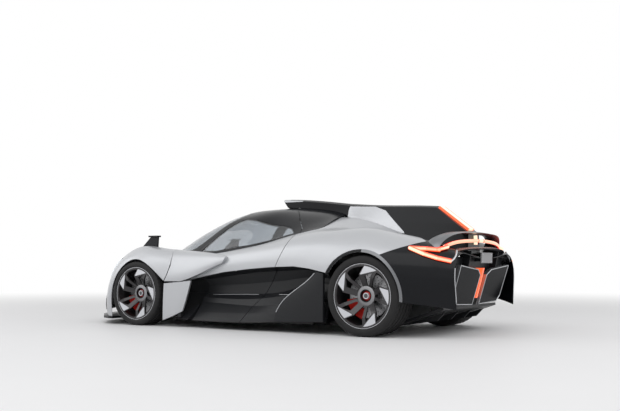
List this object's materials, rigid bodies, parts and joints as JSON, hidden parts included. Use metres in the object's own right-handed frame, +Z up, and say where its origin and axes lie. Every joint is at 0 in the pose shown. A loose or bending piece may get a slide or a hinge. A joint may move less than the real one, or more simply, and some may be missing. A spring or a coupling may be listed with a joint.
{
  "type": "supercar",
  "caption": "Low two-seat mid-engined supercar with upward-opening doors, roof scoop, tail fin and open wing blades over the tail",
  "frame": {"origin": "on the floor below the middle of the car's length and width", "axes": "+X to the nose, +Y to the car's left, +Z up"},
  "size_m": [4.54, 2.0088, 1.3099],
  "materials": {
    "alloy": "machined and painted",
    "black_gloss": "gloss",
    "carbon": "satin carbon",
    "glass": "smoked",
    "iron": "brushed",
    "lamp": "lit lens",
    "lens": "clear",
    "pearl": "satin pearl",
    "steel": "satin",
    "trim": "soft grain",
    "tyre": "matt"
  },
  "bodies": {
    "body": {"arch_lips": "carbon", "canopy": "black_gloss", "chassis": "steel", "dashboard": "trim", "deflector_plates": "pearl", "diffuser": "carbon", "fin_cheeks": "pearl", "front_clam": "pearl", "front_splitter": "carbon", "haunches": "pearl", "headlamps": "lens", "mirror_fins": "carbon", "rear_quarters": "black_gloss", "rear_uprights": "steel", "roof_scoop": "black_gloss", "seats": "trim", "side_intakes": "carbon", "side_pods": "carbon", "sill_toes": "carbon", "tail_deflectors": "carbon", "tail_fin": "black_gloss", "tail_lights": "lamp", "tail_panel": "carbon", "tub": "carbon", "windscreen": "glass", "wings": "carbon"},
    "wheel_front_left": {"disc_front_left": "iron", "rim_front_left": "alloy", "tyre_front_left": "tyre"},
    "wheel_front_right": {"disc_front_right": "iron", "rim_front_right": "alloy", "tyre_front_right": "tyre"},
    "wheel_rear_left": {"disc_rear_left": "iron", "rim_rear_left": "alloy", "tyre_rear_left": "tyre"},
    "wheel_rear_right": {"disc_rear_right": "iron", "rim_rear_right": "alloy", "tyre_rear_right": "tyre"},
    "door_left": {"door_band_left": "pearl", "door_blade_left": "pearl", "door_frame_left": "black_gloss", "door_glass_left": "glass", "door_lower_left": "carbon"},
    "door_right": {"door_band_right": "pearl", "door_blade_right": "pearl", "door_frame_right": "black_gloss", "door_glass_right": "glass", "door_lower_right": "carbon"},
    "steer_left": {"knuckle_left": "steel"},
    "steer_right": {"knuckle_right": "steel"}
  },
  "joints": [
    {"name": "door_left_hinge", "type": "hinge", "parent": "body", "child": "door_left", "pos_m": [0.885, 0.99, 0.44], "axis": [0, 0.4472, -0.8944], "range_deg": [0, 60]},
    {"name": "steer_left_pivot", "type": "hinge", "parent": "body", "child": "steer_left", "pos_m": [1.27, 0.7374, 0.332], "axis": [0, 0, 1], "range_deg": [-25, 25]},
    {"name": "wheel_front_left_spin", "type": "hinge", "parent": "steer_left", "child": "wheel_front_left", "pos_m": [1.27, 0.829, 0.332], "axis": [0, 1, 0], "continuous": true},
    {"name": "wheel_rear_left_spin", "type": "hinge", "parent": "body", "child": "wheel_rear_left", "pos_m": [-1.45, 0.818, 0.356], "axis": [0, 1, 0], "continuous": true},
    {"name": "door_right_hinge", "type": "hinge", "parent": "body", "child": "door_right", "pos_m": [0.885, -0.99, 0.44], "axis": [0, 0.4472, 0.8944], "range_deg": [0, 60]},
    {"name": "steer_right_pivot", "type": "hinge", "parent": "body", "child": "steer_right", "pos_m": [1.27, -0.7374, 0.332], "axis": [0, 0, 1], "range_deg": [-25, 25]},
    {"name": "wheel_front_right_spin", "type": "hinge", "parent": "steer_right", "child": "wheel_front_right", "pos_m": [1.27, -0.829, 0.332], "axis": [0, 1, 0], "continuous": true},
    {"name": "wheel_rear_right_spin", "type": "hinge", "parent": "body", "child": "wheel_rear_right", "pos_m": [-1.45, -0.818, 0.356], "axis": [0, 1, 0], "continuous": true}
  ],
  "couplings": [
    {"joint": "steer_right_pivot", "follows": "steer_left_pivot", "ratio": 1}
  ]
}
